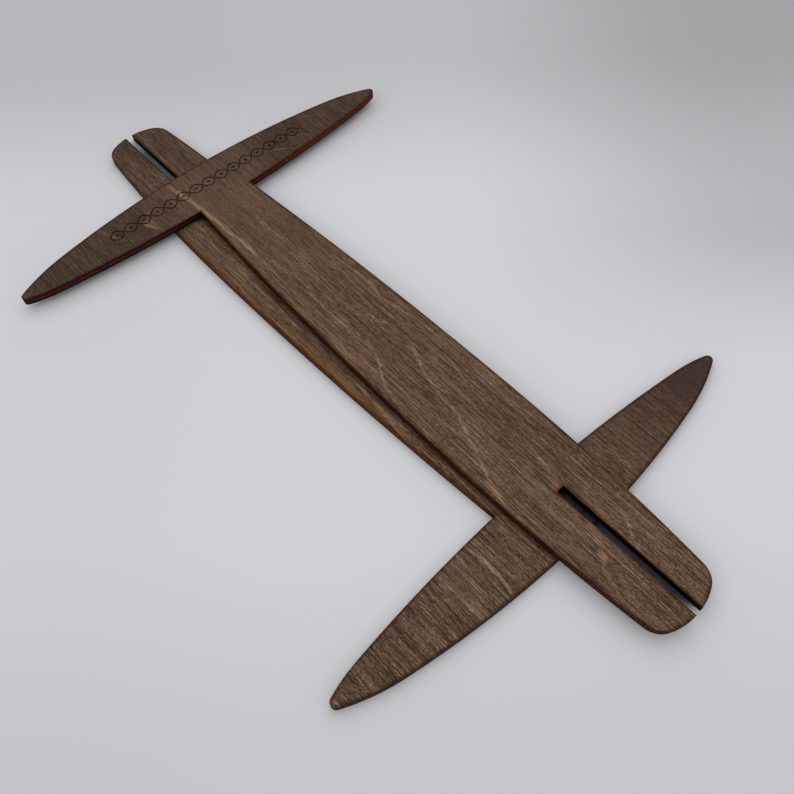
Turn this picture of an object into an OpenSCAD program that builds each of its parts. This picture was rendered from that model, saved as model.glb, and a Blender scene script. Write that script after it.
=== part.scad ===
// A yarn winder made of two plywood boards, laid flat one on the other for storage.
// Both boards have the same outline: a long stem with pointed cross arms at one end
// and an open slot at the other, cut a little off the middle. The upper board points the
// opposite way. In use one board is turned a quarter turn about its length and the slots
// slide into each other.
//
// Each board is drawn lying along +X from the crown of its arms, centred on Y = 0.

/* [Arms] */
// Reach of each arm, from the centre line to its tip
arm_reach = 86.3; // [75:0.1:95]
// Width of the arms on the centre line, from their crown to the inner edge carried across the stem
arm_width = 23.1; // [21:0.1:28]
// Radius of the long outer edge that both arms share
arm_outer_r = 367; // [320:1:500]
// Radius of each arm's rounded tip
arm_tip_r = 1.7; // [1:0.1:3]
// How far a shoulder draws each tip in from the arc of the outer edge
outer_draw = 2.2; // [1:0.1:3]
// Radius of that outer shoulder
outer_shoulder_r = 76; // [50:1:110]
// How far a shoulder draws each tip in from the arc of the inner edge
inner_draw = 1.1; // [0.5:0.1:2]
// Radius of that inner shoulder
inner_shoulder_r = 57; // [40:1:90]

/* [Stem] */
// Length of a board, from the crown of its arms to its slotted end
board_length = 254; // [235:1:300]
// Width of the stem at its widest place
stem_width = 35; // [30:0.1:42]
// Distance of the widest place from the crown of the arms
stem_widest_at = 168; // [140:1:190]
// Radius of the stem's sides between the arms and the widest place
stem_side_r = 1955; // [1400:5:3000]

/* [Slotted end] */
// Radius of the stem's sides between the widest place and the slotted end
finger_side_r = 769; // [650:1:1500]
// Radius of the slotted end's crown
end_crown_r = 21.5; // [20:0.1:40]
// Radius of the slotted end's corners
end_corner_r = 7.4; // [3:0.1:10]
// Depth of the slot, from the end's crown to its square floor
slot_depth = 53.2; // [30:0.1:80]
// Clearance of the slot over the thickness of the other board
slot_clearance = 0.1; // [0.05:0.05:0.5]
// Sideways offset of the slot from the board's middle line
slot_offset = 0.8; // [-1:0.1:1]

/* [Plywood] */
// Thickness of each of a board's two outer veneers
face_veneer_t = 0.9; // [0.6:0.1:1.5]
// Thickness of a board's middle veneer
core_veneer_t = 1.2; // [0.6:0.1:2]

/* [Laying one on the other] */
// Distance along the boards between the crowns of their arms
crown_spacing = 215.5; // [180:0.5:240]
// Sideways shift of the upper board
side_shift = 7.2; // [-12:0.1:12]
// Turn of the upper board away from parallel, in degrees
upper_turn = 0.1; // [-1:0.01:1]

/* [Engraved band] */
// Distance of the band's middle line from the crown of the arms
band_at = 11.2; // [8:0.1:13]
// Height of the band's two crossing waves, between the middles of their lines
band_height = 5; // [3:0.1:7]
// Length of one eye between two crossings
eye_length = 6.2; // [4:0.1:7]
// Number of eyes along the band
eye_count = 15; // [5:1:16]
// Width of the engraved lines
line_width = 0.6; // [0.4:0.1:0.9]
// Depth of the engraving
line_depth = 0.25; // [0.1:0.05:0.4]

/* [Hidden] */

board_t = 2 * face_veneer_t + core_veneer_t;
slot_width = board_t + slot_clearance;
core_z = face_veneer_t;
face_z = face_veneer_t + core_veneer_t;

// Steps along a long edge, along a shoulder, and along a tip or a corner
long_steps = 24;
shoulder_steps = 12;
short_steps = 10;
// Steps along one eye of the engraved band
eye_steps = 8;
// How far a cut runs past the surface that it opens
cut_over = 1;

face_brown = [0.34, 0.26, 0.20];
core_brown = [0.30, 0.17, 0.12];

// Point where a circle of radius r1 about c1 meets one of radius r2 about c2,
// on the left of the way from c1 to c2 when side is 1, and on its right when -1
function circles_meet(c1, r1, c2, r2, side) =
    let (d = norm(c2 - c1))
    let (along = (r1 * r1 - r2 * r2 + d * d) / (2 * d))
    let (across = sqrt(r1 * r1 - along * along))
    let (e = (c2 - c1) / d)
    c1 + along * e + side * across * [-e[1], e[0]];

// Point on a circle of radius r about c, in the direction of the point p
function rim_point(c, r, p) = c + r * (p - c) / norm(p - c);

// Angle turned the short way between two directions
function short_turn(a) = a > 180 ? a - 360 : (a < -180 ? a + 360 : a);

// Points of an arc about c from point p to point q, the short way, without q itself
function arc(c, p, q, steps) =
    let (r = norm(p - c))
    let (a0 = atan2(p[1] - c[1], p[0] - c[0]))
    let (turn = short_turn(atan2(q[1] - c[1], q[0] - c[0]) - a0))
    [for (k = [0 : steps - 1]) c + r * [cos(a0 + turn * k / steps), sin(a0 + turn * k / steps)]];

// Arms: centre of the outer edge, and of the tip, which lies inside that edge's circle
crown = [0, 0];
outer_c = [arm_outer_r, 0];
tip_y = arm_reach - arm_tip_r;
outer_way = arm_outer_r - arm_tip_r - outer_draw;
tip_c = [arm_outer_r - sqrt(outer_way * outer_way - tip_y * tip_y), tip_y];

// The inner edge's circle is the one through the arms' width on the centre line that
// holds the tip at its own depth
inner_gap = arm_tip_r + inner_draw;
tip_back = arm_width - tip_c[0];
arm_inner_r = (tip_back * tip_back + tip_y * tip_y - inner_gap * inner_gap) / (2 * (tip_back - inner_gap));
inner_c = [arm_width - arm_inner_r, 0];

// The shoulders, and where the arms' arcs join
outer_shoulder_c = circles_meet(outer_c, arm_outer_r - outer_shoulder_r,
                                tip_c, outer_shoulder_r - arm_tip_r, 1);
inner_shoulder_c = circles_meet(inner_c, arm_inner_r - inner_shoulder_r,
                                tip_c, inner_shoulder_r - arm_tip_r, -1);
outer_to_shoulder = rim_point(outer_c, arm_outer_r, outer_shoulder_c);
shoulder_to_tip = rim_point(outer_shoulder_c, outer_shoulder_r, tip_c);
tip_to_shoulder = rim_point(inner_shoulder_c, inner_shoulder_r, tip_c);
shoulder_to_inner = rim_point(inner_c, arm_inner_r, inner_shoulder_c);

// Stem and slotted end: centres of the sides, the corner and the crown, and where they join
widest = [stem_widest_at, stem_width / 2];
side_c = [stem_widest_at, stem_width / 2 - stem_side_r];
root = circles_meet(inner_c, arm_inner_r, side_c, stem_side_r, 1);
finger_c = [stem_widest_at, stem_width / 2 - finger_side_r];
end_c = [board_length - end_crown_r, 0];
corner_c = circles_meet(finger_c, finger_side_r - end_corner_r, end_c, end_crown_r - end_corner_r, -1);
side_to_corner = rim_point(finger_c, finger_side_r, corner_c);
corner_to_end = rim_point(end_c, end_crown_r, corner_c);
end_tip = [board_length, 0];

// The +Y half of a board's edge, from the crown of the arms to the middle of the slotted end
half_edge = concat(
    arc(outer_c, crown, outer_to_shoulder, long_steps),
    arc(outer_shoulder_c, outer_to_shoulder, shoulder_to_tip, shoulder_steps),
    arc(tip_c, shoulder_to_tip, tip_to_shoulder, short_steps),
    arc(inner_shoulder_c, tip_to_shoulder, shoulder_to_inner, shoulder_steps),
    arc(inner_c, shoulder_to_inner, root, long_steps),
    arc(side_c, root, widest, long_steps),
    arc(finger_c, widest, side_to_corner, long_steps),
    arc(corner_c, side_to_corner, corner_to_end, short_steps),
    arc(end_c, corner_to_end, end_tip, short_steps),
    [end_tip]);

// The same points on the -Y side, back again, without the two on the centre line
other_half = [for (k = [len(half_edge) - 2 : -1 : 1]) [half_edge[k][0], -half_edge[k][1]]];

module board_outline() {
    difference() {
        polygon(concat(half_edge, other_half));
        translate([board_length - slot_depth, slot_offset - slot_width / 2])
            square([slot_depth + cut_over, slot_width]);
    }
}

// One veneer of a board, with its underside at height z
module veneer(z, t) {
    translate([0, 0, z])
        linear_extrude(height = t)
            board_outline();
}

// Height of the wave at distance s along the band, and the way square to it
wave_half = band_height / 2;
function wave(s) = wave_half * sin(180 * s / eye_length);
function wave_normal(s) =
    let (slope = wave_half * PI / eye_length * cos(180 * s / eye_length))
    [slope, -1] / norm([slope, -1]);

// One engraved wave along the band, a line of even width
module wave_line(way) {
    steps = eye_count * eye_steps;
    stations = [for (k = [0 : steps]) (k / eye_steps - eye_count / 2) * eye_length];
    near = [for (s = stations) [s, way * wave(s + eye_count / 2 * eye_length)]];
    offs = [for (s = stations) wave_normal(s + eye_count / 2 * eye_length) * line_width / 2];
    left = [for (k = [0 : steps]) near[k] + [offs[k][0], way * offs[k][1]]];
    right = [for (k = [steps : -1 : 0]) near[k] - [offs[k][0], way * offs[k][1]]];
    polygon(concat(left, right));
}

// Two waves that cross, with a small diamond in each eye, along the arms
module band_outline() {
    translate([band_at, 0])
        rotate([0, 0, 90]) {
            wave_line(1);
            wave_line(-1);
            for (k = [0 : eye_count - 1])
                translate([(k + 0.5 - eye_count / 2) * eye_length, 0])
                    rotate([0, 0, 45])
                        square(2 * line_width, center = true);
        }
}

module place_lower() {
    translate([crown_spacing / 2, -side_shift / 2, 0])
        rotate([0, 0, 180])
            children();
}

module place_upper() {
    translate([-crown_spacing / 2, side_shift / 2, board_t])
        rotate([0, 0, upper_turn])
            children();
}

module lower_back_veneer() {
    color(face_brown)
        place_lower()
            veneer(0, face_veneer_t);
}

module lower_core_veneer() {
    color(core_brown)
        place_lower()
            veneer(core_z, core_veneer_t);
}

module lower_face_veneer() {
    color(face_brown)
        place_lower()
            veneer(face_z, face_veneer_t);
}

module upper_back_veneer() {
    color(face_brown)
        place_upper()
            veneer(0, face_veneer_t);
}

module upper_core_veneer() {
    color(core_brown)
        place_upper()
            veneer(core_z, core_veneer_t);
}

module upper_face_veneer() {
    color(face_brown)
        place_upper()
            difference() {
                veneer(face_z, face_veneer_t);
                translate([0, 0, board_t - line_depth])
                    linear_extrude(height = line_depth + cut_over)
                        band_outline();
            }
}

lower_back_veneer();
lower_core_veneer();
lower_face_veneer();
upper_back_veneer();
upper_core_veneer();
upper_face_veneer();
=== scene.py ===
"""Looks of a flat-pack yarn winder: two boards of brown-stained plywood, one lying on the other."""

import math

import bpy
from mathutils import Matrix, Vector


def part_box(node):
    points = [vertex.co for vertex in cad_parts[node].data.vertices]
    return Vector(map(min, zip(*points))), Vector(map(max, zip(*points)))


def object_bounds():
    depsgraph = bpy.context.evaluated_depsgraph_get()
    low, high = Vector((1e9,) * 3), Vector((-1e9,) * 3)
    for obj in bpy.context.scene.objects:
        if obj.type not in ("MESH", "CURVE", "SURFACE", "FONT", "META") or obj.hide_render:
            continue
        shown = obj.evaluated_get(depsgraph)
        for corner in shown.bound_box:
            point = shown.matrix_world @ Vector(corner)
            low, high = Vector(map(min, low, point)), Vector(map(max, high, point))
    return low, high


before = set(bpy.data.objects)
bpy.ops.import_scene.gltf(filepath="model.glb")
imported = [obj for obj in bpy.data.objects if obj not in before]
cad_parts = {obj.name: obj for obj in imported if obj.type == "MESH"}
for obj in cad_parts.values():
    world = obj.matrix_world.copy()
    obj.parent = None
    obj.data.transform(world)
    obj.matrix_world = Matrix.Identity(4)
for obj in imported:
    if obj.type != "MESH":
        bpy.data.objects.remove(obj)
cad_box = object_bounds()

MM = 0.001

# Camera: where it stands, how it is turned, its sensor and lens in millimetres, and the
# nearest distance that it shows
CAMERA_PLACE = (145.2 * MM, -104.4 * MM, 239.05 * MM)
CAMERA_AZIMUTH = 49.93
CAMERA_ELEVATION = 57.8
CAMERA_ROLL = 2.45
CAMERA_SENSOR = 36
CAMERA_LENS = 36.99
CAMERA_NEAREST = 10 * MM

# How the boards lie, in millimetres and degrees. The crown of a board is the middle of the
# outer edge of its arms
LOWER_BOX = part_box("lower_face_veneer")
CROWN_X = LOWER_BOX[1].x / MM
CROWN_Y = (LOWER_BOX[0].y + LOWER_BOX[1].y) / 2 / MM
BOARD_LENGTH = (LOWER_BOX[1].x - LOWER_BOX[0].x) / MM
UPPER_TURN = 0.1
TOP_Z = cad_box[1].z / MM
BOARD_THICKNESS = TOP_Z / 2
ENGRAVING_DEPTH = 0.25

# Outline of a board in its own frame: u runs from the crown of its arms along the stem,
# and v across it. Each arc is its centre and radius
OUTER_ARC = ((367, 0), 367)
OUTER_SHOULDER_ARC = ((80.7, 52.1), 76)
INNER_ARC = ((-541.5, 0), 564.6)
INNER_SHOULDER_ARC = ((-38.2, 66.1), 57)
TIP_ARC = ((13.9, 84.6), 1.7)
OUTER_SHOULDER_V = 65.7
INNER_SHOULDER_V = 73.5
STEM_WIDEST_AT = 168
STEM_ARC = ((168, -1937.5), 1955)
FINGER_ARC = ((168, -751.5), 769)
END_RADIUS = 21.5
SLOT_DEPTH = 53.2
SLOT_WIDTH = 3.1
SLOT_OFFSET = 0.8
# A depth that no place on a board has
VERY_DEEP = 1000.0


def srgb(red, green, blue):
    """A colour given as it shows on a screen, 0 to 255, as the linear colour that a shader takes."""
    def linear(value):
        share = value / 255
        return share / 12.92 if share <= 0.04045 else ((share + 0.055) / 1.055) ** 2.4
    return (linear(red), linear(green), linear(blue), 1.0)


class Number:
    """A number at one point of a surface. Arithmetic with it adds Math nodes to its material."""

    def __init__(self, tree, socket):
        self.tree = tree
        self.socket = socket

    def __add__(self, other):
        return self.tree.math("ADD", self, other)

    def __sub__(self, other):
        return self.tree.math("SUBTRACT", self, other)

    def __rsub__(self, other):
        return self.tree.math("SUBTRACT", other, self)

    def __mul__(self, other):
        return self.tree.math("MULTIPLY", self, other)

    def __truediv__(self, other):
        return self.tree.math("DIVIDE", self, other)

    __radd__ = __add__
    __rmul__ = __mul__


def socket_of(value):
    return value.socket if isinstance(value, Number) else value


class Tree:
    """The node tree of a new material."""

    def __init__(self, name):
        self.material = bpy.data.materials.new(name)
        self.material.use_nodes = True
        self.nodes = self.material.node_tree.nodes
        self.links = self.material.node_tree.links
        self.nodes.clear()

    def add(self, kind, inputs=None, **settings):
        """A new node. Its inputs are plain values, sockets or Numbers, by name or place."""
        node = self.nodes.new(kind)
        for name, value in settings.items():
            setattr(node, name, value)
        for key, value in (inputs or {}).items():
            value = socket_of(value)
            if isinstance(value, bpy.types.NodeSocket):
                self.links.new(value, node.inputs[key])
            else:
                node.inputs[key].default_value = value
        return node

    def math(self, operation, *values):
        node = self.add("ShaderNodeMath", dict(enumerate(values)), operation=operation)
        return Number(self, node.outputs[0])

    def size(self, value):
        return self.math("ABSOLUTE", value)

    def least(self, a, b):
        return self.math("MINIMUM", a, b)

    def most(self, a, b):
        return self.math("MAXIMUM", a, b)

    def distance(self, x, y):
        return self.math("SQRT", x * x + y * y)

    def ramp(self, value, start, end, low=0.0, high=1.0, smooth=True):
        """Goes from low, where value is start, to high, where it is end, and stays there."""
        inputs = {"Value": value, "From Min": start, "From Max": end, "To Min": low, "To Max": high}
        kind = "SMOOTHSTEP" if smooth else "LINEAR"
        node = self.add("ShaderNodeMapRange", inputs, interpolation_type=kind)
        return Number(self, node.outputs[0])

    def noise(self, x, y, z=0.0, detail=2.0, roughness=0.5):
        """Soft noise, about 0.5 on average, with features about 1 across."""
        point = self.add("ShaderNodeCombineXYZ", {0: x, 1: y, 2: z}).outputs[0]
        inputs = {"Vector": point, "Scale": 1.0, "Detail": detail, "Roughness": roughness}
        return Number(self, self.add("ShaderNodeTexNoise", inputs).outputs[0])

    def openness(self, reach, samples):
        """How open the space around a point is, up to reach in millimetres: 1 where all is open."""
        inputs = {"Distance": reach * MM}
        node = self.add("ShaderNodeAmbientOcclusion", inputs, samples=samples)
        return Number(self, node.outputs["AO"])

    def palette(self, value, stops):
        """The colour of a value from 0 to 1, given as pairs of a value and its colour."""
        node = self.add("ShaderNodeValToRGB", {0: value})
        elements = node.color_ramp.elements
        while len(elements) < len(stops):
            elements.new(1.0)
        for element, (place, colour) in zip(elements, stops):
            element.position = place
            element.color = colour
        return node.outputs[0]

    def mix(self, share, first, second):
        """The colour first where share is 0 and second where it is 1."""
        node = self.add("ShaderNodeMix", {0: share, 6: first, 7: second}, data_type="RGBA")
        return node.outputs[2]

    def tint(self, share, colour, factors):
        """The colour, with its red, green and blue scaled by factors where share is 1."""
        inputs = {0: share, 6: colour, 7: factors}
        node = self.add("ShaderNodeMix", inputs, data_type="RGBA", blend_type="MULTIPLY")
        return node.outputs[2]

    def shade(self, colour, light):
        """The colour with its brightness scaled by light."""
        grey = self.add("ShaderNodeCombineColor", {0: light, 1: light, 2: light}).outputs[0]
        return self.tint(1.0, colour, grey)

    def finish(self, colour, roughness, specular, height=None, bump=0.0):
        """The finished material. Where height is given, it raises the surface by up to bump metres."""
        inputs = {"Base Color": colour, "Roughness": roughness, "Specular IOR Level": specular}
        shader = self.add("ShaderNodeBsdfPrincipled", inputs)
        if height is not None:
            inputs = {"Height": height, "Distance": bump, "Strength": 1.0}
            raised = self.add("ShaderNodeBump", inputs)
            self.links.new(raised.outputs[0], shader.inputs["Normal"])
        self.add("ShaderNodeOutputMaterial", {"Surface": shader.outputs[0]})
        return self.material


# Where each board lies, in millimetres: from its own frame to the frame of the whole
PLACES = {
    "lower": Matrix.Translation((CROWN_X, CROWN_Y, 0)) @ Matrix.Rotation(math.pi, 4, "Z"),
    "upper": (
        Matrix.Translation((-CROWN_X, -CROWN_Y, 0))
        @ Matrix.Rotation(math.radians(UPPER_TURN), 4, "Z")
    ),
}

# From here on, a ramp is written as where it starts and where it ends, followed by its values
# there unless these are 0 and 1. Places on the boards and the table are in millimetres

# A cut side, by the height of the surface's normal
SIDE_BY_NORMAL = (0.8, 0.5)
# Stretches of the cut sides with painted light, lighter and more orange: by v on the upper board,
# and by v and u on the lower one
UPPER_SIDE_LIGHT_V = (10, 45)
LOWER_SIDE_LIGHT_V = (0, 12)
LOWER_SIDE_LIGHT_U = (22, 32)
# How far a streak takes to come up on each side of its first point, and how far before and
# after its last point it goes out
STREAK_STARTS = 2
STREAK_ENDS = (2, -7)
# Share of a streak's half width within which it is at its full strength
STREAK_CORE = 0.1
# A patch's edge, by the distance from its centre in shares of its reach
PATCH_EDGE = (1.2, 0.2)


class Board:
    """Places on a board's surface, in millimetres in its own frame, in one material's tree."""

    def __init__(self, tree, which):
        self.tree = tree
        self.which = which
        to_board = PLACES[which].inverted()
        coordinates = tree.add("ShaderNodeTexCoord")
        mapping = tree.add("ShaderNodeMapping", {
            "Vector": coordinates.outputs["Object"],
            "Location": to_board.translation,
            "Rotation": (0, 0, to_board.to_euler().z),
            "Scale": (1 / MM, 1 / MM, 1 / MM),
        })
        split = tree.add("ShaderNodeSeparateXYZ", {0: mapping.outputs[0]})
        self.u, self.v, self.z = (Number(tree, split.outputs[k]) for k in range(3))
        self.across = tree.size(self.v)
        underside = BOARD_THICKNESS if which == "upper" else 0.0
        self.from_middle = tree.size(self.z - (underside + BOARD_THICKNESS / 2))
        normal = tree.add("ShaderNodeSeparateXYZ", {0: coordinates.outputs["Normal"]})
        self.side = tree.ramp(tree.size(Number(tree, normal.outputs[2])), *SIDE_BY_NORMAL)

    def noise(self, cell, z=0.0, detail=2.0):
        """Noise with features as large as cell, its length along u and its width along v."""
        return self.tree.noise(self.u / cell[0], self.v / cell[1], z, detail)

    def depth(self, arc):
        """How far inside an arc's circle a point lies."""
        centre, radius = arc
        return radius - self.tree.distance(self.u - centre[0], self.across - centre[1])

    def change(self, before, after, place, limit):
        """Before where place is less than limit, and after beyond it."""
        return before + (after - before) * self.tree.math("GREATER_THAN", place, limit)

    def slot_distance(self):
        """Distance from the slot, on the flat faces around it."""
        tree = self.tree
        beside = tree.size(self.v - SLOT_OFFSET) - SLOT_WIDTH / 2
        before = BOARD_LENGTH - SLOT_DEPTH - self.u
        return tree.distance(tree.most(before, 0.0), tree.most(beside, 0.0))

    def edge_distance(self):
        """Distance from the board's cut edge, on its flat faces."""
        tree = self.tree
        outer = self.change(
            self.depth(OUTER_ARC), self.depth(OUTER_SHOULDER_ARC), self.across, OUTER_SHOULDER_V)
        inner = self.change(
            self.depth(INNER_ARC), self.depth(INNER_SHOULDER_ARC), self.across, INNER_SHOULDER_V)
        tip = self.change(VERY_DEEP, self.depth(TIP_ARC), self.across, TIP_ARC[0][1])
        side = self.change(self.depth(STEM_ARC), self.depth(FINGER_ARC), self.u, STEM_WIDEST_AT)
        end_at = BOARD_LENGTH - END_RADIUS
        end = self.change(VERY_DEEP, self.depth(((end_at, 0), END_RADIUS)), self.u, end_at)
        outline = tree.least(outer, tree.most(tree.least(inner, tip), tree.least(side, end)))
        return tree.least(outline, self.slot_distance())

    def painted_side_light(self):
        """1 along the stretch of the board's cut sides that is painted lighter, as where light falls,
        and 0 elsewhere.
        """
        tree = self.tree
        if self.which == "upper":
            return tree.ramp(self.v, *UPPER_SIDE_LIGHT_V)
        return tree.ramp(self.v, *LOWER_SIDE_LIGHT_V) * tree.ramp(self.u, *LOWER_SIDE_LIGHT_U)

    def streak(self, v, points, width, strength):
        """A thin line along points (u, v), where the surface's own shifted v meets it."""
        tree = self.tree
        line = points[0][1]
        for (u0, v0), (u1, v1) in zip(points, points[1:]):
            line = tree.ramp(self.u, u0, u1, 0.0, v1 - v0, smooth=False) + line
        near = tree.ramp(tree.size(v - line), width, STREAK_CORE * width, 0.0, strength)
        first, last = points[0][0], points[-1][0]
        starts = tree.ramp(self.u, first - STREAK_STARTS, first + STREAK_STARTS)
        return near * starts * tree.ramp(self.u, last + STREAK_ENDS[0], last + STREAK_ENDS[1])

    def patch(self, v, centre, reach, strength):
        """A soft oval spot, where the surface's own shifted v meets it."""
        tree = self.tree
        away = tree.distance((self.u - centre[0]) / reach[0], (v - centre[1]) / reach[1])
        return tree.ramp(away, *PATCH_EDGE, 0.0, strength)


# Tones of the stained face, from its darkest fibres to its palest
WOOD_TONES = (
    (0.0, srgb(28, 18, 13)),
    (0.3, srgb(57, 42, 32)),
    (0.5, srgb(83, 64, 51)),
    (0.7, srgb(108, 88, 71)),
    (1.0, srgb(154, 127, 100)),
)
PINK_TAN = srgb(172, 128, 100)
ORANGE_BROWN = srgb(132, 90, 50)
PURPLE_BROWN = srgb(60, 43, 41)
# Factors of red, green and blue in the warm rim along the edges, and the colour of the rim's
# scorched wood, of the engraving's floor and of the slots' sides, soot with painted shade
EDGE_TINT = (1.25, 0.97, 0.52, 1.0)
SCORCH = srgb(36, 8, 2)
CHAR = srgb(28, 15, 10)
SOOT_AND_PAINTED_SHADE = srgb(12, 5, 3)
# The cut sides of the face veneers and of the core veneer: most charred, and less so
SIDE_DARK = srgb(24, 5, 2)
SIDE_PALE = {"upper": srgb(48, 15, 7), "lower": srgb(56, 33, 21)}
# Painted light: the lighter orange brown of the cut sides where light falls on them
SIDE_LIT_ORANGE = srgb(96, 46, 22)
CORE_DARK = srgb(50, 15, 6)
CORE_PALE = {"upper": srgb(88, 38, 21), "lower": srgb(92, 58, 38)}
TABLE = srgb(216, 216, 220)

# Figure of each board's face, in its own frame. A streak is its line of points (u, v), its half
# width and its strength
STREAKS = {
    "upper": (
        (((2, -14), (14, -11.8), (28, -11), (40, -10.2), (49, -9.5), (58, -10.2)), 1.4, 0.34),
        (((60, -8.1), (74, -7.6)), 0.5, 0.25),
        (((40, 2.0), (58, 2.6)), 0.5, 0.26),
        (((12, 5.5), (24, 2.8)), 0.5, 0.16),
        (((84, -7), (95, -7), (107, -7.6), (121, -6.6), (125, -8.3), (130, -11.3), (134, -13.7),
          (141, -15)), 0.7, 0.3),
        (((128, 5), (132, 3), (140, -0.3), (148, -2.3), (160, -3.7), (166, -6.3), (175, -9.8),
          (183, -13.3), (194, -16.2)), 0.7, 0.27),
        (((107, 2.2), (112, 3), (115, 4.8), (121, 5.3)), 0.5, 0.24),
        (((89, 12.7), (98, 12.5), (105, 10.7), (112, 12.3), (122, 13.8), (132, 13.7)), 0.6, 0.24),
        (((142, 10), (151, 7.6), (157, 7)), 0.5, 0.24),
        (((169, 13.2), (178, 13.8)), 0.5, 0.2),
        (((214, -1.4), (217, -2.8), (225, -6.4), (227, -9.8), (232, -11.3), (239, -13.3)),
         0.8, 0.18),
        (((196, 11.8), (209, 10.6)), 0.5, 0.22),
        (((222, 7.6), (226, 4.8), (232, 3)), 0.7, 0.22),
        (((181, 5.7), (199, 2.5)), 0.6, 0.2),
        (((12, -33.2), (17, -31), (22, -27.5)), 1.0, 0.4),
        (((5, -47), (13, -44), (21, -38)), 0.9, 0.16),
        (((12, 29), (15, 31.5), (18, 35.5), (22, 40)), 0.8, 0.24),
        (((13, 42.5), (17, 47), (21, 51)), 0.8, 0.2),
        (((3, 40), (6, 45)), 0.8, 0.2),
        (((6, 52), (14, 62)), 1.2, 0.14),
    ),
    "lower": (
        (((1, 26.6), (8, 25.2), (15, 25), (24, 26)), 0.7, 0.34),
        (((2, 38.4), (22, 38.8)), 0.8, 0.18),
        (((4, 52), (20, 51)), 0.7, 0.16),
        (((60, 14.8), (72, 12.6), (92, 12)), 0.8, 0.3),
        (((110, 9.5), (122, 11.5), (150, 11)), 0.8, 0.2),
        (((165, 12.5), (186, 9), (200, 9.6)), 0.8, 0.12),
        (((222, 4), (228, 6), (231, 9.6)), 0.9, 0.14),
    ),
}
# A patch is its centre, its reach along u and v, its strength and its colour
PATCHES = {
    "upper": (
        ((186, -14.4), (5, 1.4), 0.5, PINK_TAN),
        ((224.6, -6.6), (2.6, 1.4), 0.6, PINK_TAN),
        ((15, -30.5), (5, 2.0), 0.35, PINK_TAN),
        ((199.5, 0.8), (2.2, 2.6), 0.5, ORANGE_BROWN),
    ),
    "lower": (
        ((92, 15), (36, 4.5), 0.45, ORANGE_BROWN),
        ((150, 16), (40, 3), 0.3, ORANGE_BROWN),
        ((14, -76), (13, 17), 0.9, PURPLE_BROWN),
    ),
}

# Layers of the grain: length and width of their marks, a number that sets each layer's noise
# apart, its finer octaves, and how far it moves the wood's tone
BROAD_LAYER = (48, 8, 1, 2, 0.25)
FINE_LAYERS = {
    "bands": (16, 0.8, 2, 2, 0.3),
    "threads": (15, 0.24, 8, 0, 0.75),
    "fibres": (5, 0.2, 3, 0, 0.55),
    "flecks": (1.2, 0.18, 4, 0, 0.75),
    "specks": (0.5, 0.25, 7, 0, 0.55),
}
LAYER_ROUGHNESS = 0.6
MEAN_TONE = 0.54
# Where the fine layers are stronger or weaker: ramps by u, v or the size of v
CRISPNESS = {
    "upper": (("u", 15, 110, 0.48, 0.92),),
    "lower": (("u", 120, 225, 1.0, 0.72), ("v", -18, -45, 1.0, 0.6)),
}
# Where the wood is darker, partly as its own tone and partly as painted shade where the light
# falls off, and by how much of the tone: the same kind of ramps
DARKENING_AND_PAINTED_SHADE = {
    "upper": (("across", 14, 32, 0.0, 0.12), ("u", 34, 12, 0.0, 0.03)),
    "lower": (
        ("u", 195, 232, 0.0, 0.09),
        ("v", -20, -55, 0.0, 0.1),
        ("v", 34, 50, 0.0, 0.045),
    ),
}


def wood_tone(board, v, seed):
    """How pale the stained wood is, with painted shade in places, and its fibres alone. The grain
    follows the shifted v.
    """
    tree = board.tree

    def layer(length, width, offset, octaves):
        return tree.noise(board.u / length, v / width, seed + offset, octaves, LAYER_ROUGHNESS)

    detail = 0.0
    for name, (*settings, strength) in FINE_LAYERS.items():
        marks = layer(*settings)
        detail = (marks - 0.5) * strength + detail
        if name == "fibres":
            fibres = marks
    ways = {"u": board.u, "v": v, "across": board.across}
    for way, *ramp in CRISPNESS[board.which]:
        detail = detail * tree.ramp(ways[way], *ramp)
    *settings, strength = BROAD_LAYER
    tone = MEAN_TONE + (layer(*settings) - 0.5) * strength + detail
    # Darker in places: partly the wood's own tone and partly painted shade where the light falls off
    for way, *ramp in DARKENING_AND_PAINTED_SHADE[board.which]:
        tone = tone - tree.ramp(ways[way], *ramp)
    return tone, fibres


# Slow drift of the grain across the board: the cell of its noise, and its reach
DRIFT_CELL = (50, 14)
DRIFT_REACH = 2.2
# Ragged edges of the streaks and patches: the same, and the number that sets the noise apart
RAGGED_CELL = (2.4, 0.35)
RAGGED_REACH = 2.4
RAGGED_OFFSET = 6
# How much of a streak and of a patch shows, by the fibres
STREAK_BY_FIBRES = (0.3, 0.6, 0.6, 1.15)
PATCH_BY_FIBRES = (0.3, 0.65, 0.4, 1.0)


def figured_wood(board, seed):
    """The face's colour with its grain, streaks and patches, and its fibres alone."""
    tree = board.tree
    drift = board.noise(DRIFT_CELL, seed)
    tone, fibres = wood_tone(board, board.v + (drift - 0.5) * DRIFT_REACH, seed)
    ragged = board.noise(RAGGED_CELL, seed + RAGGED_OFFSET, 1)
    ragged_v = board.v + (ragged - 0.5) * RAGGED_REACH
    pale = 0.0
    for streak in STREAKS[board.which]:
        pale = board.streak(ragged_v, *streak) + pale
    wood = tree.palette(tone + pale * tree.ramp(fibres, *STREAK_BY_FIBRES), WOOD_TONES)
    for *patch, colour in PATCHES[board.which]:
        spot = board.patch(ragged_v, *patch)
        wood = tree.mix(spot * tree.ramp(fibres, *PATCH_BY_FIBRES), wood, colour)
    return wood, fibres


# The warm rim: by the distance from the cut edge and how far the fibres shift that, by noise of
# its own cell and offset, and by u on the side of the arms and on the side of the slot
WARM_RIM = (2.2, 0.2)
WARM_BY_FIBRES = 1.6
WARM_CELL = (18, 18)
WARM_OFFSET = 5
WARM_BY_NOISE = (0.3, 0.6, 0.2, 0.7)
WARM_FROM_ARMS = (18, 30, 0.4, 1.3)
WARM_TO_SLOT = (175, 205, 1.0, 0.45)
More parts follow.
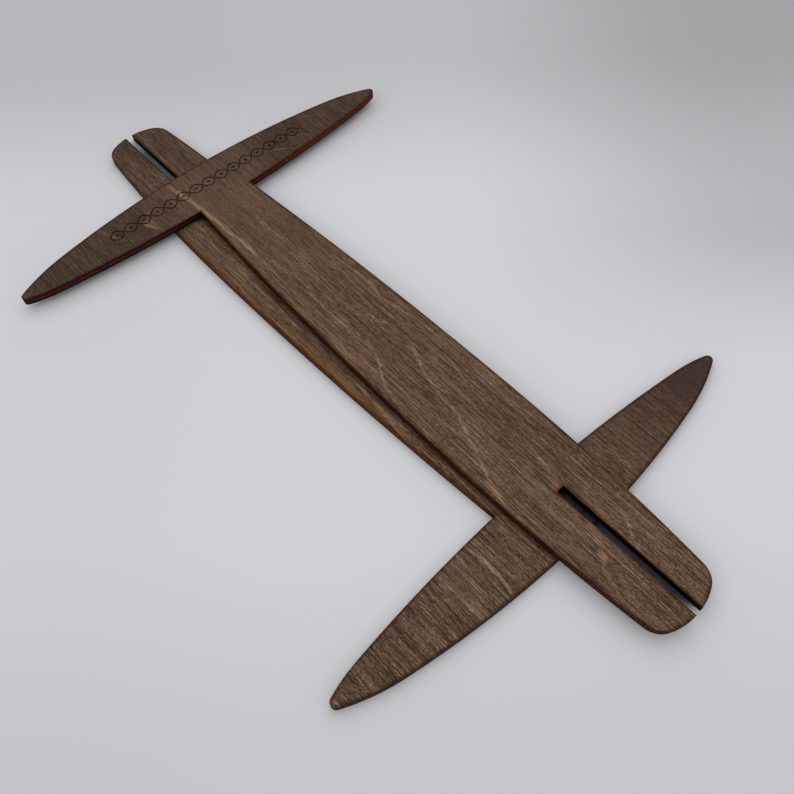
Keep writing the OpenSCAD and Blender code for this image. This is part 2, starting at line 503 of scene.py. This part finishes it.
# The scorched rim
SCORCHED_RIM = (1.3, 0.05, 0.0, 0.68)
SCORCHED_BY_FIBRES = 0.8
# The engraving: by the depth under the top face, in shares of its own depth, in from the top
# and out again below its floor, and by the distance from the cut edge
ENGRAVING_IN = (0.3, 0.9)
ENGRAVING_OUT = (2, 1.5)
ENGRAVING_FROM_EDGE = (0.3, 0.6, 0.0, 0.62)


def laser_marks(board, wood, fibres, seed):
    """The face's colour with the rims that the laser left along its edges, and the engraving."""
    tree = board.tree
    edge = board.edge_distance()
    rim = tree.ramp(edge + (fibres - 0.5) * WARM_BY_FIBRES, *WARM_RIM)
    warm = rim * tree.ramp(board.noise(WARM_CELL, seed + WARM_OFFSET), *WARM_BY_NOISE)
    warm = warm * tree.ramp(board.u, *WARM_FROM_ARMS) * tree.ramp(board.u, *WARM_TO_SLOT)
    wood = tree.tint(warm, wood, EDGE_TINT)
    scorched = tree.ramp(edge + (fibres - 0.5) * SCORCHED_BY_FIBRES, *SCORCHED_RIM)
    wood = tree.mix(scorched, wood, SCORCH)
    if board.which == "upper":
        below = (TOP_Z - board.z) / ENGRAVING_DEPTH
        sunk = tree.ramp(below, *ENGRAVING_IN) * tree.ramp(below, *ENGRAVING_OUT)
        wood = tree.mix(sunk * tree.ramp(edge, *ENGRAVING_FROM_EDGE), wood, CHAR)
    return wood


# Charring of the cut sides: its noise by height, its ramp by the noise, and the share of the
# orange brown painted light on the lit stretch
BURN_CELL = (0.6, 0.6)
BURN_HEIGHT = 5
BURN_BY_NOISE = (0.35, 0.7)
SIDE_LIT_ORANGE_SHARE = 0.6
# The same side against the board's faces, by the distance from the board's middle layer
SIDE_AT_FACES = (1.4, 1.1, 0.35, 1.0)
# Soot and painted shade on the slot's sides, by the distance from the slot
SLOT_SOOT_AND_PAINTED_SHADE = (1.0, 0.3)


def cut_side(board):
    """The colour of a face veneer's cut side."""
    tree = board.tree
    burn = board.noise(BURN_CELL, board.z / BURN_HEIGHT)
    side = tree.mix(tree.ramp(burn, *BURN_BY_NOISE), SIDE_DARK, SIDE_PALE[board.which])
    # Painted light: lighter and more orange along the lit stretch of the cut sides
    side = tree.mix(board.painted_side_light() * SIDE_LIT_ORANGE_SHARE, side, SIDE_LIT_ORANGE)
    side = tree.shade(side, tree.ramp(board.from_middle, *SIDE_AT_FACES))
    # The slot's sides: soot with painted shade, near black
    return tree.mix(tree.ramp(board.slot_distance(), *SLOT_SOOT_AND_PAINTED_SHADE), side, SOOT_AND_PAINTED_SHADE)


# Painted shade in narrow gaps and slots: how far around it is felt, the samples, and the light
# that is left by how open the space is
PAINTED_GAP_SHADE_REACH = 6
PAINTED_GAP_SHADE_SAMPLES = 6
PAINTED_GAP_SHADE = (0.35, 0.7, 0.04, 1.0)
# Gloss of the wood, its roughness by its noise, and the height of its bumps in metres
WOOD_SPECULAR = 0.08
FACE_ROUGHNESS = (0.25, 0.75, 0.78, 0.62)
FACE_BUMP = 0.05 * MM
CORE_ROUGHNESS = (0.3, 0.7, 0.85, 0.7)
CORE_BUMP = 0.1 * MM
# Open grain of the core: its cell, its height, and its ramp by the noise
CORE_CELL = (0.5, 0.5)
CORE_HEIGHT = 0.6
CORE_BY_NOISE = (0.35, 0.7)
# Dark glue against the face veneers, by the distance from the board's middle layer, and how
# much lighter the core is painted on the lit stretch of the cut sides
GLUE_LINE = (0.6, 0.45, 0.3, 1.0)
CORE_PAINTED_LIGHT = 0.4


def face_veneer(name, which, seed):
    """Stained face of the plywood, with its charred cut sides and engraved lines."""
    tree = Tree(name)
    board = Board(tree, which)
    wood, fibres = figured_wood(board, seed)
    wood = laser_marks(board, wood, fibres, seed)
    colour = tree.mix(board.side, wood, cut_side(board))
    # Painted shade: darker where the space around is closed in, as in gaps and slots
    colour = tree.shade(colour, tree.ramp(tree.openness(PAINTED_GAP_SHADE_REACH, PAINTED_GAP_SHADE_SAMPLES), *PAINTED_GAP_SHADE))
    roughness = tree.ramp(fibres, *FACE_ROUGHNESS)
    return tree.finish(colour, roughness, WOOD_SPECULAR, fibres, FACE_BUMP)


def core_veneer(name, which):
    """Middle veneer, which shows as a redder line in the cut sides."""
    tree = Tree(name)
    board = Board(tree, which)
    grain = board.noise(CORE_CELL, board.z / CORE_HEIGHT)
    colour = tree.mix(tree.ramp(grain, *CORE_BY_NOISE), CORE_DARK, CORE_PALE[which])
    colour = tree.shade(colour, tree.ramp(board.from_middle, *GLUE_LINE))
    # Painted light: the core is lighter along the lit stretch of the cut sides
    colour = tree.shade(colour, board.painted_side_light() * CORE_PAINTED_LIGHT + 1.0)
    # The slot's sides: soot with painted shade, near black
    colour = tree.mix(tree.ramp(board.slot_distance(), *SLOT_SOOT_AND_PAINTED_SHADE), colour, SOOT_AND_PAINTED_SHADE)
    # Painted shade: darker where the space around is closed in, as in gaps and slots
    colour = tree.shade(colour, tree.ramp(tree.openness(PAINTED_GAP_SHADE_REACH, PAINTED_GAP_SHADE_SAMPLES), *PAINTED_GAP_SHADE))
    roughness = tree.ramp(grain, *CORE_ROUGHNESS)
    return tree.finish(colour, roughness, WOOD_SPECULAR, grain, CORE_BUMP)


# A number that sets each board's noise apart
SEEDS = {"lower": 3.7, "upper": 11.3}


def dress_boards():
    for which, seed in SEEDS.items():
        face = face_veneer(which + "_face", which, seed)
        core = core_veneer(which + "_core", which)
        for part, material in (("face", face), ("back", face), ("core", core)):
            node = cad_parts[f"{which}_{part}_veneer"]
            node.data.materials.clear()
            node.data.materials.append(material)


# The table top: its half width and how far it lies under the boards, in metres, and its gloss
TABLE_REACH = 30.0
TABLE_GAP = 0.02 * MM
TABLE_SPECULAR = 0.1
TABLE_ROUGHNESS = 0.8
# Its tone falls off along two ways from the middle of the boards, which are turned by this many
# degrees from +X and +Y: beyond the middle, to the right of it and beyond, before it, and to
# its left. All round, far away, it comes to one plain tone
TABLE_TURN = 49.93
FALL_BEYOND = (60, 165, 1.0, 0.78)
FALL_RIGHT = (30, 175, 0.0, 0.27)
FALL_RIGHT_BEYOND = (-30, 50)
FALL_BEFORE = (-70, -160, 1.0, 0.88)
FALL_LEFT = (0, -100, 1.0, 0.96)
PLAIN_TONE = 1.05
PLAIN_FROM = (330, 1200)


def table_tone(tree, coordinates):
    """How light the table top is, as the light falls on it in the photograph."""
    turned = tree.add("ShaderNodeMapping", {
        "Vector": coordinates,
        "Rotation": (0, 0, math.radians(-TABLE_TURN)),
        "Scale": (1 / MM, 1 / MM, 1 / MM),
    })
    split = tree.add("ShaderNodeSeparateXYZ", {0: turned.outputs[0]})
    right, beyond = (Number(tree, split.outputs[k]) for k in range(2))
    light = tree.ramp(beyond, *FALL_BEYOND)
    light = light * (1 - tree.ramp(right, *FALL_RIGHT) * tree.ramp(beyond, *FALL_RIGHT_BEYOND))
    light = light * tree.ramp(beyond, *FALL_BEFORE) * tree.ramp(right, *FALL_LEFT)
    return light + (PLAIN_TONE - light) * tree.ramp(tree.distance(right, beyond), *PLAIN_FROM)


# Shade on the table top under the slots: by the distance from a slot's middle line and from its
# mouth, by how open the space is up to a reach and with so many samples, and by the light that
# comes in at the mouth
SHADE_FROM_LINE = (8, 6)
SHADE_FROM_MOUTH = (0.8, 3)
SHADE_REACH = 20
SHADE_SAMPLES = 16
SHADE_LIGHT = (0.46, 0.73, 0.19, 1.0)
MOUTH_LIGHT = (14, 2, 0.0, 0.25)


def slot_shade(tree, coordinates):
    """How much of its tone the table top keeps where it is seen through the boards' slots."""
    split = tree.add("ShaderNodeSeparateXYZ", {0: coordinates})
    x, y = (Number(tree, split.outputs[k]) / MM for k in range(2))
    from_mouth = cad_box[1].x / MM - tree.size(x)
    from_line = tree.size(y * tree.math("SIGN", x) + CROWN_Y - SLOT_OFFSET)
    under_slot = tree.ramp(from_line, *SHADE_FROM_LINE) * tree.ramp(from_mouth, *SHADE_FROM_MOUTH)
    seen = tree.openness(SHADE_REACH, SHADE_SAMPLES) + tree.ramp(from_mouth, *MOUTH_LIGHT)
    return 1 + (tree.ramp(seen, *SHADE_LIGHT) - 1) * under_slot


def make_floor():
    """A pale table top that darkens away from its middle, and under the boards' slots."""
    mesh = bpy.data.meshes.new("table_top")
    reach = TABLE_REACH
    corners = [(-reach, -reach, 0), (reach, -reach, 0), (reach, reach, 0), (-reach, reach, 0)]
    mesh.from_pydata(corners, [], [(0, 1, 2, 3)])
    floor = bpy.data.objects.new("table_top", mesh)
    floor.location.z = -TABLE_GAP
    bpy.context.scene.collection.objects.link(floor)
    tree = Tree("table_top")
    coordinates = tree.add("ShaderNodeTexCoord").outputs["Object"]
    light = table_tone(tree, coordinates) * slot_shade(tree, coordinates)
    colour = tree.shade(TABLE, light)
    mesh.materials.append(tree.finish(colour, TABLE_ROUGHNESS, TABLE_SPECULAR))


def make_camera():
    camera = bpy.data.objects.new("camera", bpy.data.cameras.new("camera"))
    bpy.context.scene.collection.objects.link(camera)
    camera.data.sensor_width = CAMERA_SENSOR
    camera.data.lens = CAMERA_LENS
    camera.data.clip_start = CAMERA_NEAREST
    camera.matrix_world = (
        Matrix.Translation(CAMERA_PLACE)
        @ Matrix.Rotation(math.radians(CAMERA_AZIMUTH), 4, "Z")
        @ Matrix.Rotation(math.radians(90 - CAMERA_ELEVATION), 4, "X")
        @ Matrix.Rotation(math.radians(-CAMERA_ROLL), 4, "Z")
    )
    bpy.context.scene.camera = camera


# Strength of the even light from all around, and for each lamp its azimuth and elevation in
# degrees, its distance and size in metres, and its power in watts
WORLD_STRENGTH = 0.71
LAMPS = {
    "key_lamp": (38, 55, 2.5, 2.6, 13),
    "fill_lamp": (185, 40, 2.5, 2.0, 11),
}


def make_lamp(name, azimuth, elevation, distance, size, power):
    """A square soft lamp that faces the boards. Azimuth 0 is beyond them, seen along +Y."""
    lamp = bpy.data.lights.new(name, "AREA")
    lamp.size = size
    lamp.energy = power
    across, up = math.radians(azimuth), math.radians(elevation)
    away = Vector((-math.sin(across) * math.cos(up), math.cos(across) * math.cos(up), math.sin(up)))
    holder = bpy.data.objects.new(name, lamp)
    holder.location = away * distance
    holder.rotation_euler = away.to_track_quat("Z", "Y").to_euler()
    bpy.context.scene.collection.objects.link(holder)


def make_light():
    world = bpy.data.worlds.new("studio")
    world.use_nodes = True
    background = world.node_tree.nodes["Background"]
    background.inputs["Color"].default_value = (1.0, 1.0, 1.0, 1.0)
    background.inputs["Strength"].default_value = WORLD_STRENGTH
    bpy.context.scene.world = world
    for name, settings in LAMPS.items():
        make_lamp(name, *settings)


bpy.context.scene.view_settings.view_transform = "Standard"
dress_boards()
make_floor()
make_camera()
make_light()
